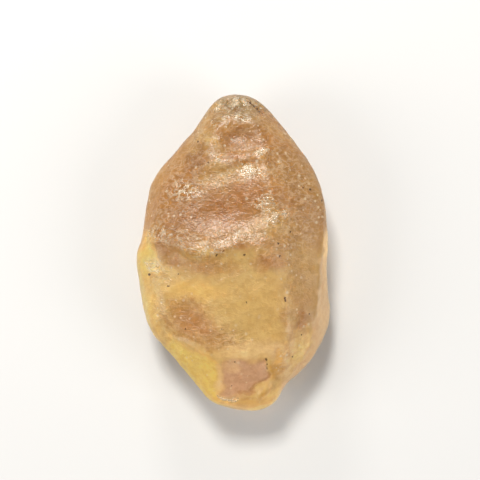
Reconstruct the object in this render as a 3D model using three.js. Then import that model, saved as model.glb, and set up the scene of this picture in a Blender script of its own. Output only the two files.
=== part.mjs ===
// A raw piece of desert glass: one wind-worn pebble of pale yellow natural glass.
// Millimetres, +Z up. The stone lies on its broad back with its best face up. Its long axis runs
// along Y with the narrow chipped tip at +Y, and the origin is below its middle, on the surface
// that it rests on.
//
// The form is star-shaped. Along each direction from the stone's heart a gauge says how much of
// the way to the surface one millimetre is: the largest of a boxy dome over the outline and of the
// worn facets. Lumps, scoops and ledges then move that surface in or out along its normals.

import * as THREE from "three";
import { mergeVertices } from "three/addons/utils/BufferGeometryUtils.js";
import { ImprovedNoise } from "three/addons/math/ImprovedNoise.js";

// Driving dimensions
const LENGTH = 42; // tip to tip
const WIDTH = 26; // across the two side bulges
const THICKNESS = 14.4; // from the resting facet to the top of the face

// The dome that the facets are cut from, measured from the rim, which is the widest level.
const FACE_RISE = 9.6;
const BACK_DROP = 7.4;
const DOME_POWER = 2.8; // 2 is an ellipsoid, and more is boxier
const REST_DEPTH = 6.6; // from the rim down to the flat resting facet
const REST_BLEND = 0.45; // the rounding where the back turns into the resting facet
const RIM_TWIST = 1.6; // how far the rim rises and falls towards the four corners
const TIP_RISE = 0.9; // how far the two tips turn up
const EDGE_SPLITS = 19; // 20 * (splits + 1)^2 triangles

// The outline seen from above, anticlockwise from the right side.
const OUTLINE = [
  [12.2, -1.2],
  [12.3, 2.0],
  [11.9, 6.0],
  [10.9, 10.0],
  [8.2, 14.2],
  [4.7, 18.6],
  [3.3, 19.9],
  [0.0, 21.0],
  [-1.8, 20.5],
  [-3.0, 19.4],
  [-5.2, 16.3],
  [-8.2, 12.8],
  [-10.6, 9.6],
  [-11.6, 5.4],
  [-12.0, 2.3],
  [-12.9, -0.5],
  [-12.6, -3.0],
  [-11.9, -7.0],
  [-10.8, -10.4],
  [-8.1, -13.2],
  [-5.5, -16.4],
  [-3.0, -19.3],
  [-0.6, -20.45],
  [2.7, -21.0],
  [5.0, -20.0],
  [6.9, -17.2],
  [9.5, -14.9],
  [11.9, -11.1],
  [13.0, -8.0],
  [12.4, -5.2],
];

// Worn facets, by the zone of the stone that they are on. Each passes through a point, measured
// from the heart at the rim's level. Its normal leans by lean degrees from straight up, or on the
// back from straight down, towards a bearing counted anticlockwise from +X. The edges round over
// blend times the distance to the heart.
const FACE_FACETS = [
  { name: "upper plateau", at: [0.0, 8.0, 7.9], lean: 9, bearing: 98, blend: 0.05 },
  { name: "lower plateau", at: [0.5, -6.0, 7.8], lean: 9, bearing: 264, blend: 0.08 },
  { name: "left brow", at: [-7.4, 4.0, 7.1], lean: 22, bearing: 160, blend: 0.14 },
  { name: "left cheek", at: [-6.8, -6.5, 6.8], lean: 20, bearing: 205, blend: 0.14 },
  { name: "right bevel", at: [8.7, 0.0, 6.0], lean: 33, bearing: 4, blend: 0.03 },
  { name: "right rim", at: [11.3, -2.0, 3.6], lean: 66, bearing: -3, blend: 0.03 },
  { name: "upper right bevel", at: [6.4, 11.4, 5.6], lean: 42, bearing: 34, blend: 0.05 },
  { name: "upper right rim", at: [7.6, 13.4, 3.2], lean: 60, bearing: 42, blend: 0.05 },
  { name: "left rim", at: [-10.3, 4.6, 4.6], lean: 60, bearing: 170, blend: 0.04 },
  { name: "upper left rim", at: [-6.6, 12.2, 4.4], lean: 54, bearing: 143, blend: 0.04 },
  { name: "lower left rim", at: [-10.8, -5.6, 4.2], lean: 60, bearing: 190, blend: 0.05 },
  { name: "lower left facet", at: [-4.4, -15.4, 4.2], lean: 47, bearing: 221, blend: 0.03 },
  { name: "bottom facet", at: [1.4, -16.2, 5.0], lean: 29, bearing: 264, blend: 0.02 },
  { name: "bottom rim", at: [1.6, -19.8, 2.6], lean: 64, bearing: 268, blend: 0.05 },
  { name: "lower right bevel", at: [8.3, -12.2, 4.6], lean: 44, bearing: -36, blend: 0.04 },
  { name: "brow", at: [0.0, 16.6, 5.6], lean: 25, bearing: 88, blend: 0.04 },
  { name: "tip", at: [-0.4, 19.8, 2.8], lean: 60, bearing: 96, blend: 0.05 },
];

const BACK_FACETS = [
  { name: "back upper left", at: [-7.0, 8.5, -4.9], lean: 26, bearing: 138, blend: 0.06 },
  { name: "back upper right", at: [7.0, 8.5, -4.7], lean: 29, bearing: 40, blend: 0.06 },
  { name: "back lower left", at: [-8.2, -7.0, -4.7], lean: 30, bearing: 208, blend: 0.06 },
  { name: "back lower right", at: [8.2, -7.4, -4.9], lean: 24, bearing: -26, blend: 0.06 },
  { name: "back foot", at: [0.8, -15.8, -4.4], lean: 28, bearing: 266, blend: 0.06 },
  { name: "back tip", at: [0.6, 16.4, -4.0], lean: 30, bearing: 82, blend: 0.06 },
];

// Shallow scoops that the wind has ground out: the middle, half the length and half the width, the
// bearing of the length, and the depth.
const FACE_SCOOPS = [
  { name: "left scoop", at: [-8.2, -1.4], size: [4.8, 2.8], turn: -8, depth: 0.75 },
  { name: "middle scoop", at: [-2.8, -2.4], size: [4.6, 2.4], turn: 10, depth: 0.4 },
  { name: "cheek scoop", at: [-6.8, -8.2], size: [4.6, 3.2], turn: -50, depth: 0.5 },
  { name: "belly scoop", at: [2.2, -10.6], size: [5.0, 2.8], turn: 10, depth: 0.3 },
  { name: "upper dish", at: [-1.5, 6.4], size: [7.4, 4.6], turn: -14, depth: 0.45 },
  { name: "upper dimple", at: [-5.7, 12.2], size: [2.6, 1.8], turn: 35, depth: 0.45 },
  { name: "brow dimple", at: [0.6, 14.6], size: [3.4, 1.9], turn: -8, depth: 0.5 },
  { name: "tip chip", at: [-1.4, 18.3], size: [1.9, 1.3], turn: 15, depth: 0.4 },
  { name: "tip notch", at: [2.6, 18.8], size: [1.9, 1.1], turn: -35, depth: 0.5 },
  { name: "round dimple", at: [5.4, 11.8], size: [2.0, 1.9], turn: 0, depth: 0.4 },
  { name: "right scoop", at: [9.0, -2.5], size: [5.2, 2.0], turn: 88, depth: 0.3 },
  { name: "corner scoop", at: [8.9, -9.4], size: [3.2, 1.8], turn: 66, depth: 0.35 },
];

const BACK_SCOOPS = [
  { name: "back hollow", at: [-6.6, 3.2], size: [4.8, 3.4], turn: 60, depth: 0.45 },
  { name: "back dish", at: [7.2, 3.6], size: [4.2, 3.0], turn: 100, depth: 0.45 },
  { name: "back scallop", at: [-4.8, -11.4], size: [4.0, 2.8], turn: 130, depth: 0.5 },
  { name: "back dimple", at: [5.4, -13.0], size: [3.2, 2.4], turn: 40, depth: 0.4 },
  { name: "back tip dimple", at: [-0.8, 15.4], size: [3.2, 2.2], turn: 80, depth: 0.35 },
];

// Ledges on the face. Each is a crest along a line, which swells gently up to it on the side of
// its right hand and drops away on the side of its left hand, where the surface then rises back.
const LEDGES = [
  {
    name: "main ledge",
    line: [[1.6, 1.7], [-1.6, -0.1], [-4.1, -0.6], [-5.9, 0.0], [-8.0, 1.1], [-11.6, 1.8]],
    crest: 0.2,
    drop: 0.5,
    width: 2.4,
    spread: 3.4,
  },
  {
    name: "upper ledge",
    line: [[6.4, 9.4], [4.6, 10.8], [3.6, 11.9], [0.8, 11.6], [-2.4, 11.3], [-5.2, 10.6]],
    crest: 0.25,
    drop: 0.45,
    width: 2.0,
    spread: 2.2,
  },
];

// Unevenness: broad and gentle over the whole stone, and close and sharper on the rough upper half
// of the face, which the wind has etched and not yet polished.
const LUMPS = [
  { reach: 4.6, height: 0.3, rough: false },
  { reach: 2.1, height: 0.14, rough: false },
  { reach: 1.25, height: 0.16, rough: true },
];
const ROUGH_START = -1.0; // in Y, where the rough half of the face fades in
const ROUGH_FULL = 2.0;

const GLASS_COLOUR = 0xd2b06c;
const GLASS_ROUGHNESS = 0.45;

const SIDE_LUMPS = 0.35; // the height of the lumps on a steep side, against that on a level
const NOISE_STEP = 7.3; // from one layer of lumps to the next, so that they don't line up
const OUTLINE_SAMPLES = 1440;
const FULL_TURN = 2 * Math.PI;
const degrees = THREE.MathUtils.degToRad;
const { clamp, lerp, smoothstep } = THREE.MathUtils;

// The larger of two values, with the corner between them rounded over a stretch.
function roundedMax(a, b, stretch) {
  const nearness = Math.max(stretch - Math.abs(a - b), 0) / stretch;
  return Math.max(a, b) + (nearness ** 2 * stretch) / 4;
}

// The outline's radius as a function of bearing, from a closed curve through its points.
function makeOutline() {
  const points = OUTLINE.map(([x, y]) => new THREE.Vector3(x, y, 0));
  const curve = new THREE.CatmullRomCurve3(points, true, "centripetal");
  const rim = curve
    .getPoints(OUTLINE_SAMPLES)
    .slice(0, OUTLINE_SAMPLES)
    .map((p) => ({ bearing: Math.atan2(p.y, p.x), radius: Math.hypot(p.x, p.y) }))
    .sort((a, b) => a.bearing - b.bearing);
  const first = rim[0];
  const last = rim[rim.length - 1];
  rim.unshift({ bearing: last.bearing - FULL_TURN, radius: last.radius });
  rim.push({ bearing: first.bearing + FULL_TURN, radius: first.radius });
  return (bearing) => {
    let low = 0;
    let high = rim.length - 1;
    while (high - low > 1) {
      const middle = (low + high) >> 1;
      if (rim[middle].bearing > bearing) high = middle;
      else low = middle;
    }
    const share = (bearing - rim[low].bearing) / (rim[high].bearing - rim[low].bearing);
    return lerp(rim[low].radius, rim[high].radius, share);
  };
}

// A facet as its outward normal and its distance from the heart. Side is 1 on the face and -1 on
// the back.
function facetPlane({ at, lean, bearing, blend }, side) {
  const tilt = degrees(lean);
  const turn = degrees(bearing);
  const normal = new THREE.Vector3(
    Math.sin(tilt) * Math.cos(turn),
    Math.sin(tilt) * Math.sin(turn),
    side * Math.cos(tilt),
  );
  return { normal, distance: normal.dot(new THREE.Vector3(...at)), blend };
}

// The faceted form: the surface point along a direction from the heart.
function makeForm() {
  const outlineRadius = makeOutline();
  const planes = [
    ...FACE_FACETS.map((facet) => facetPlane(facet, 1)),
    ...BACK_FACETS.map((facet) => facetPlane(facet, -1)),
  ];
  return (direction) => {
    const level = Math.hypot(direction.x, direction.y);
    const across = level / outlineRadius(Math.atan2(direction.y, direction.x));
    const upright = Math.abs(direction.z) / (direction.z > 0 ? FACE_RISE : BACK_DROP);
    let gauge = (across ** DOME_POWER + upright ** DOME_POWER) ** (1 / DOME_POWER);
    for (const { normal, distance, blend } of planes) {
      const reach = Math.max(normal.dot(direction), 0) / distance;
      gauge = roundedMax(gauge, reach, blend * gauge);
    }
    return direction.clone().divideScalar(gauge);
  };
}

// How far the whole form is lifted at a place by its twist and its turned-up tips.
function sway(x, y) {
  const across = (2 * x) / WIDTH;
  const along = (2 * y) / LENGTH;
  return RIM_TWIST * across * along + TIP_RISE * along ** 2;
}

// How far into a scoop a place lies: 1 at its middle, 0 from its rim outwards.
function scoopShare(x, y, { at, size, turn }) {
  const angle = degrees(turn);
  const dx = x - at[0];
  const dy = y - at[1];
  const along = (dx * Math.cos(angle) + dy * Math.sin(angle)) / size[0];
  const across = (dy * Math.cos(angle) - dx * Math.sin(angle)) / size[1];
  return Math.max(1 - along ** 2 - across ** 2, 0) ** 1.5;
}

// The nearest place on a line of points: how far away it is, positive on the line's left hand, and
// how much of the line's length lies before it.
function nearestOnLine(x, y, line) {
  let best = { away: Infinity };
  let walked = 0;
  for (let i = 0; i + 1 < line.length; i++) {
    const [ax, ay] = line[i];
    const [bx, by] = line[i + 1];
    const length = Math.hypot(bx - ax, by - ay);
    const share = clamp(((x - ax) * (bx - ax) + (y - ay) * (by - ay)) / length ** 2, 0, 1);
    const away = Math.hypot(x - lerp(ax, bx, share), y - lerp(ay, by, share));
    const isLeft = (bx - ax) * (y - ay) - (by - ay) * (x - ax) > 0;
    if (away < Math.abs(best.away)) {
      best = { away: isLeft ? away : -away, place: walked + share * length };
    }
    walked += length;
  }
  return { away: best.away, share: best.place / walked };
}

// How far the surface sinks at a place beside a ledge, less towards the ends of its line.
function ledgeDepth(x, y, { line, crest, drop, width, spread }) {
  const { away, share } = nearestOnLine(x, y, line);
  const fade = Math.sin(Math.PI * share) ** 0.5;
  const step = smoothstep(away, -width / 2, width);
  const swell = Math.exp(-((Math.min(away, 0) / spread) ** 2));
  const recovery = Math.exp(-((Math.max(away - width, 0) / spread) ** 2));
  return fade * (step * (drop + crest) * recovery - crest * swell * recovery);
}

// How far the surface sinks at a point whose normal is given.
function wornDepth(point, normal) {
  const onFace = smoothstep(normal.z, 0.25, 0.7);
  const onBack = smoothstep(-normal.z, 0.25, 0.7);
  let depth = 0;
  for (const scoop of FACE_SCOOPS) {
    depth += onFace * scoop.depth * scoopShare(point.x, point.y, scoop);
  }
  for (const scoop of BACK_SCOOPS) {
    depth += onBack * scoop.depth * scoopShare(point.x, point.y, scoop);
  }
  for (const ledge of LEDGES) {
    depth += onFace * ledgeDepth(point.x, point.y, ledge);
  }
  return depth;
}

// The height of the lumps at a point. They are lower on the sides, and so leave the outline alone.
function lumpHeight(point, normal, noise) {
  const flatness = lerp(SIDE_LUMPS, 1, Math.abs(normal.z));
  const roughness = smoothstep(point.y, ROUGH_START, ROUGH_FULL) * smoothstep(normal.z, 0, 0.5);
  let height = 0;
  LUMPS.forEach((lump, i) => {
    const place = point.clone().divideScalar(lump.reach);
    const share = lump.rough ? roughness : flatness;
    height += share * lump.height * noise.noise(place.x + NOISE_STEP * i, place.y, place.z);
  });
  return height;
}

// The stone's closed skin, with its whole box centred over the origin and resting on z = 0.
function makeStone() {
  const ball = new THREE.IcosahedronGeometry(1, EDGE_SPLITS);
  ball.deleteAttribute("normal");
  ball.deleteAttribute("uv");
  const skin = mergeVertices(ball);
  const places = skin.getAttribute("position");
  const form = makeForm();
  const stretch = new THREE.Vector3(WIDTH, LENGTH, THICKNESS);
  const point = new THREE.Vector3();
  for (let i = 0; i < places.count; i++) {
    const direction = point.fromBufferAttribute(places, i).multiply(stretch).normalize();
    const surface = form(direction);
    places.setXYZ(i, surface.x, surface.y, surface.z + sway(surface.x, surface.y));
  }
  skin.computeVertexNormals();

  const noise = new ImprovedNoise();
  const normals = skin.getAttribute("normal");
  const normal = new THREE.Vector3();
  for (let i = 0; i < places.count; i++) {
    point.fromBufferAttribute(places, i);
    normal.fromBufferAttribute(normals, i);
    const shift = lumpHeight(point, normal, noise) - wornDepth(point, normal);
    point.addScaledVector(normal, shift);
    places.setXYZ(i, point.x, point.y, roundedMax(point.z, -REST_DEPTH, REST_BLEND));
  }

  skin.computeBoundingBox();
  const { min, max } = skin.boundingBox;
  skin.translate(-(min.x + max.x) / 2, -(min.y + max.y) / 2, -min.z);
  skin.scale(WIDTH / (max.x - min.x), LENGTH / (max.y - min.y), THICKNESS / (max.z - min.z));
  skin.computeVertexNormals();
  return skin;
}

const glass = new THREE.MeshStandardMaterial({
  color: GLASS_COLOUR,
  roughness: GLASS_ROUGHNESS,
  metalness: 0,
});

const pebble = new THREE.Mesh(makeStone(), glass);
pebble.name = "glass_pebble";

const stone = new THREE.Group();
stone.add(pebble);

export default stone;
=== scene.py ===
"""A raw piece of desert glass that lies on a pale table, seen from straight above.

Lengths are written in millimetres and turned into metres where Blender takes them. The stone
lies along Y with its chipped tip at +Y and its best face up, and rests on z = 0.
"""

import logging
import math
from dataclasses import dataclass
from enum import Enum
from typing import NamedTuple

import bmesh
import bpy
import numpy as np
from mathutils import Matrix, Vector


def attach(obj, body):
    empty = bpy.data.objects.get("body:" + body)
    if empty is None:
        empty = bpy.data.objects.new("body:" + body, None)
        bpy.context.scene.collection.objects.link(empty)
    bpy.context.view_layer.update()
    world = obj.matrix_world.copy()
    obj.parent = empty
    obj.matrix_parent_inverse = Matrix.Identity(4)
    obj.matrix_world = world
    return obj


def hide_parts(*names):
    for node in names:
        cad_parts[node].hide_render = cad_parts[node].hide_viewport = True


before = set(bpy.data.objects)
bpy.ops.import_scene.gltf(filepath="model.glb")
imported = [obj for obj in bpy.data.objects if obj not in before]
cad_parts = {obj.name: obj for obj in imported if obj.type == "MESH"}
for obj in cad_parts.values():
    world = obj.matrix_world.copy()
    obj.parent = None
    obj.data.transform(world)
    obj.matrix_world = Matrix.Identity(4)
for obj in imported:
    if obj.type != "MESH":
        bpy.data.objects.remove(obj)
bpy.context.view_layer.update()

MM = 0.001  # metres in a millimetre
log = logging.getLogger("desert_glass")

Colour = tuple[float, float, float]
Pair = tuple[float, float]
Point = tuple[float, float]
Triple = tuple[float, float, float]
Socket = bpy.types.NodeSocket

FLAT = (1.0, 1.0, 1.0)  # a noise that is as fine along every axis
MIX_COLOURS, MIX_RESULT = (6, 7), 2  # a Mix node's sockets for colours
RANDOM_RANGE, RANDOM_NUMBER = (2, 3), 1  # a Random Value node's sockets for plain numbers

# Each wave's share, its pace, its direction over the stone and how far a seed shifts it
WAVES = (
    (0.50, 1.00, (0.80, 0.60), 1.0),
    (0.32, 1.37, (-0.28, 0.96), 2.3),
    (0.18, 2.11, (0.45, -0.89), 4.1),
)


def smoothstep(value: np.ndarray, low: float, high: float) -> np.ndarray:
    """Eases from 0 to 1 between two values.

    Args:
        value: The numbers to ease.
        low: Where the result leaves 0.
        high: Where the result reaches 1.

    Returns:
        The eased numbers, from 0 to 1.
    """
    share = np.clip((value - low) / (high - low), 0.0, 1.0)
    return share * share * (3.0 - 2.0 * share)


def wander(x: np.ndarray, y: np.ndarray, size: float, seed: float) -> np.ndarray:
    """Gives a soft wave that never repeats over the stone, for edges that shouldn't look drawn.

    Args:
        x: Places across the stone, in millimetres.
        y: Places along the stone, in millimetres.
        size: The rough size of a wave, in millimetres.
        seed: Shifts the waves.

    Returns:
        The wave at each place, from about -1 to 1.
    """
    turn = 2.0 * math.pi / size
    total = np.zeros(x.shape)
    for share, pace, (across, along), shift in WAVES:
        total += share * np.sin(turn * pace * (across * x + along * y) + shift * seed)
    return total


class Ramp(NamedTuple):
    """How a result eases from one value to another while a number rises.

    Attributes:
        low: Where the result leaves its first value.
        high: Where it reaches its second value.
        start: The first value.
        end: The second value.
    """

    low: float
    high: float
    start: float = 0.0
    end: float = 1.0

    def of(self, value: np.ndarray) -> np.ndarray:
        """Gives the result for each number.

        Args:
            value: The numbers.

        Returns:
            The results.
        """
        return self.start + (self.end - self.start) * smoothstep(value, self.low, self.high)


class Bench:
    """Adds nodes to a tree and links them, in a shader or in Geometry Nodes.

    Attributes:
        tree: The tree that it builds.
    """

    def __init__(self, tree: bpy.types.NodeTree) -> None:
        """Takes the tree that it builds."""
        self.tree = tree

    def add(self, kind: str, **settings: object) -> bpy.types.Node:
        """Adds a node.

        Args:
            kind: The node's type.
            **settings: The node's own settings, by name.

        Returns:
            The node.
        """
        node = self.tree.nodes.new(kind)
        for name, value in settings.items():
            setattr(node, name, value)
        return node

    def feed(self, socket: Socket, value: object) -> None:
        """Links a socket to an output, or sets it to a plain value.

        Args:
            socket: The socket.
            value: The output or the value. None leaves the socket as it is.
        """
        if isinstance(value, bpy.types.NodeSocket):
            self.tree.links.new(value, socket)
        elif value is not None:
            socket.default_value = value

    def math(self, operation: str, first: object, second: object = 0.0, clamp: bool = False) -> Socket:
        """Adds a Math node.

        Args:
            operation: What it does.
            first: Its first number or link.
            second: Its second number or link.
            clamp: Whether the result is kept from 0 to 1.

        Returns:
            The result's socket.
        """
        node = self.add("ShaderNodeMath", operation=operation, use_clamp=clamp)
        self.feed(node.inputs[0], first)
        self.feed(node.inputs[1], second)
        return node.outputs[0]

    def vector(self, operation: str, first: object, second: object) -> bpy.types.Node:
        """Adds a Vector Math node.

        Args:
            operation: What it does.
            first: Its first vector or link.
            second: Its second vector or link.

        Returns:
            The node.
        """
        node = self.add("ShaderNodeVectorMath", operation=operation)
        self.feed(node.inputs[0], first)
        self.feed(node.inputs[1], second)
        return node

    def noise(self, place: Socket, grain: Socket | float, stretch: Triple = FLAT,
              detail: float = 2.0, rough: float = 0.5) -> Socket:
        """Adds a noise whose waves have a given length.

        Args:
            place: Where the noise is read, in metres.
            grain: The length of its waves, in metres.
            stretch: How much finer it is along each axis.
            detail: How many finer layers it has.
            rough: How strong those layers are.

        Returns:
            The noise, from 0 to 1 and mostly near 0.5.
        """
        spread = self.vector("MULTIPLY", place, stretch)
        node = self.add("ShaderNodeTexNoise", noise_dimensions="3D")
        self.feed(node.inputs["Vector"], spread.outputs[0])
        self.feed(node.inputs["Scale"], self.math("DIVIDE", 1.0, grain))
        self.feed(node.inputs["Detail"], detail)
        self.feed(node.inputs["Roughness"], rough)
        return node.outputs[0]

    def ease(self, value: Socket, ramp: Ramp) -> Socket:
        """Eases from one value to another while a number rises.

        Args:
            value: The number.
            ramp: The two values, and where the number reaches them.

        Returns:
            The result's socket.
        """
        node = self.add("ShaderNodeMapRange", interpolation_type="SMOOTHSTEP")
        for socket, number in zip(node.inputs, (value, *ramp)):
            self.feed(socket, number)
        return node.outputs[0]

    def centred(self, value: Socket) -> Socket:
        """Shifts a noise so that it varies round 0, and gives the result's socket."""
        return self.math("SUBTRACT", value, 0.5)

    def mix(self, share: object, first: object, second: object, blend: str = "MIX") -> Socket:
        """Mixes two colours.

        Args:
            share: How much of the second colour is laid over the first.
            first: The first colour.
            second: The second colour.
            blend: How the second colour is laid on.

        Returns:
            The mixed colour's socket.
        """
        node = self.add("ShaderNodeMix", data_type="RGBA", blend_type=blend)
        self.feed(node.inputs["Factor"], share)
        for index, colour in zip(MIX_COLOURS, (first, second)):
            opaque = colour if isinstance(colour, bpy.types.NodeSocket) else (*colour, 1.0)
            self.feed(node.inputs[index], opaque)
        return node.outputs[MIX_RESULT]


def nearest(line: tuple[Point, ...], x: np.ndarray, y: np.ndarray) -> tuple[np.ndarray, np.ndarray]:
    """Finds the nearest place on a line.

    Args:
        line: The points that the line joins, in millimetres.
        x: Places across the stone, in millimetres.
        y: Places along the stone, in millimetres.

    Returns:
        How far away the line is, positive on its left side, and the share of the line's length
        that lies before the nearest place.
    """
    ends = np.array(line)
    spans = np.diff(ends, axis=0)
    lengths = np.hypot(spans[:, 0], spans[:, 1])
    starts = np.concatenate([[0.0], np.cumsum(lengths)])
    best = np.full(x.shape, np.inf)
    share = np.zeros(x.shape)
    for (ax, ay), (sx, sy), length, start in zip(ends, spans, lengths, starts):
        along = np.clip(((x - ax) * sx + (y - ay) * sy) / length**2, 0.0, 1.0)
        gap = np.hypot(x - ax - along * sx, y - ay - along * sy)
        side = np.where(sx * (y - ay) - sy * (x - ax) > 0.0, 1.0, -1.0)
        closer = gap < np.abs(best)
        best = np.where(closer, side * gap, best)
        share = np.where(closer, (start + along * length) / starts[-1], share)
    return best, share


class Cut(Enum):
    """How the surface runs across a stroke."""

    RIDGE = "ridge"  # rises to the line from both sides
    STEP = "step"  # drops on the line's left side, and rises slowly back


@dataclass(frozen=True)
class Stroke:
    """A ridge, groove or step along a line on the face.

    Attributes:
        name: What the stroke is on the stone.
        cut: How the surface runs across it.
        line: The points that it follows, in millimetres.
        height: How high a ridge stands or how far a step drops. Under zero a ridge is a groove.
        width: Half of a ridge's width, or the run of a step's drop.
        lead: How many widths before its line a step starts to drop.
        back: How many widths the rise after a step's drop takes.
    """

    name: str
    cut: Cut
    line: tuple[Point, ...]
    height: float
    width: float
    lead: float = 0.3
    back: float = 2.5

    def share(self, x: np.ndarray, y: np.ndarray) -> np.ndarray:
        """Gives how far the stroke lifts the surface at each place.

        Args:
            x: Places across the stone, in millimetres.
            y: Places along the stone, in millimetres.

        Returns:
            The lift at each place, in millimetres.
        """
        away, along = nearest(self.line, x, y)
        fade = np.sqrt(np.sin(np.pi * np.clip(along, 0.0, 1.0)))
        if self.cut is Cut.RIDGE:
            return self.height * fade * np.exp(-((away / self.width) ** 2))
        drop = smoothstep(away, -self.lead * self.width, self.width)
        rise = np.exp(-(np.maximum(away - self.width, 0.0) / (self.back * self.width)))
        return -self.height * fade * drop * rise


@dataclass(frozen=True)
class Band:
    """A strip that runs beside a line on the face.

    Attributes:
        name: What the band is on the stone.
        line: The points of the line, in millimetres.
        near: How far from the line it starts, on the line's left side, in millimetres.
        far: How far from the line it ends.
        amount: How much of it there is inside.
        soft: Half the width of its edges.
        end: The share of the line over which each of its ends fades out.
    """

    name: str
    line: tuple[Point, ...]
    near: float
    far: float
    amount: float = 1.0
    soft: float = 0.5
    end: float = 0.06

    def share(self, x: np.ndarray, y: np.ndarray) -> np.ndarray:
        """Gives the band's amount at each place.

        Args:
            x: Places across the stone, in millimetres.
            y: Places along the stone, in millimetres.

        Returns:
            The amount at each place, and 0 outside the band.
        """
        away, along = nearest(self.line, x, y)
        inner = smoothstep(away, self.near - self.soft, self.near + self.soft)
        outer = smoothstep(away, self.far + self.soft, self.far - self.soft)
        ends = smoothstep(along, 0.0, self.end) * smoothstep(along, 1.0, 1.0 - self.end)
        return self.amount * inner * outer * ends


@dataclass(frozen=True)
class Pane:
    """A flat facet's outline on the face, with straight sides.

    Attributes:
        name: What the facet is on the stone.
        corners: Its corners, counter-clockwise, in millimetres.
        amount: How much of it there is inside.
        soft: Half the width of its edges, in millimetres.
    """

    name: str
    corners: tuple[Point, ...]
    amount: float = 1.0
    soft: float = 0.45

    def share(self, x: np.ndarray, y: np.ndarray) -> np.ndarray:
        """Gives the pane's amount at each place.

        Args:
            x: Places across the stone, in millimetres.
            y: Places along the stone, in millimetres.

        Returns:
            The amount at each place, and 0 outside the pane.
        """
        inside = np.full(x.shape, np.inf)
        for (ax, ay), (bx, by) in zip(self.corners, self.corners[1:] + self.corners[:1]):
            side = ((bx - ax) * (y - ay) - (by - ay) * (x - ax)) / math.hypot(bx - ax, by - ay)
            inside = np.minimum(inside, side)
        return self.amount * smoothstep(inside, -self.soft, self.soft)


@dataclass(frozen=True)
class Dab:
    """A round or oval spot on the face: a dimple, a lump, or a patch of a colour or finish.

    Attributes:
        name: What the dab is on the stone.
        at: Its middle, in millimetres.
        size: Half its length and half its width, in millimetres.
        turn: The bearing of its length, in degrees.
        amount: How much of it there is at its middle.
        edge: The power that its edge falls with. Higher is softer.
    """

    name: str
    at: Point
    size: Pair
    turn: float = 0.0
    amount: float = 1.0
    edge: float = 1.2

    def share(self, x: np.ndarray, y: np.ndarray) -> np.ndarray:
        """Gives the dab's amount at each place.

        Args:
            x: Places across the stone, in millimetres.
            y: Places along the stone, in millimetres.

        Returns:
            The amount at each place, and 0 outside the dab.
        """
        angle = math.radians(self.turn)
        dx, dy = x - self.at[0], y - self.at[1]
        along = (dx * math.cos(angle) + dy * math.sin(angle)) / self.size[0]
        across = (dy * math.cos(angle) - dx * math.sin(angle)) / self.size[1]
        return self.amount * np.clip(1.0 - along**2 - across**2, 0.0, 1.0) ** self.edge


Shape = Dab | Pane | Band | Stroke


class Hue(Enum):
    """The colours of the glass, and of its painted shade and glow, as the eye sees them on a screen, from
    0 to 255.
    """

    SAND = (169, 111, 58)
    DRIFT = (153, 119, 73)
    MOSS = (134, 112, 74)
    ROSE = (172, 107, 62)
    UMBER = (164, 104, 47)
    # BARK darkens the deep of the brow, the left of the brow and the left of the middle as painted shade
    # against the lamps' sheen.
    BARK = (140, 86, 34)
    OCHRE = (194, 144, 66)
    HONEY = (208, 172, 105)
    LEMON = (254, 200, 100)
    LILAC = (197, 153, 126)
    PEARL = (230, 194, 150)
    GLOW = (240, 204, 132)

    @property
    def light(self) -> np.ndarray:
        """The colour as amounts of light, by the standard curve of a screen."""
        screen = np.array(self.value) / 255.0
        return ((screen + 0.055) / 1.055) ** 2.4


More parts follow.
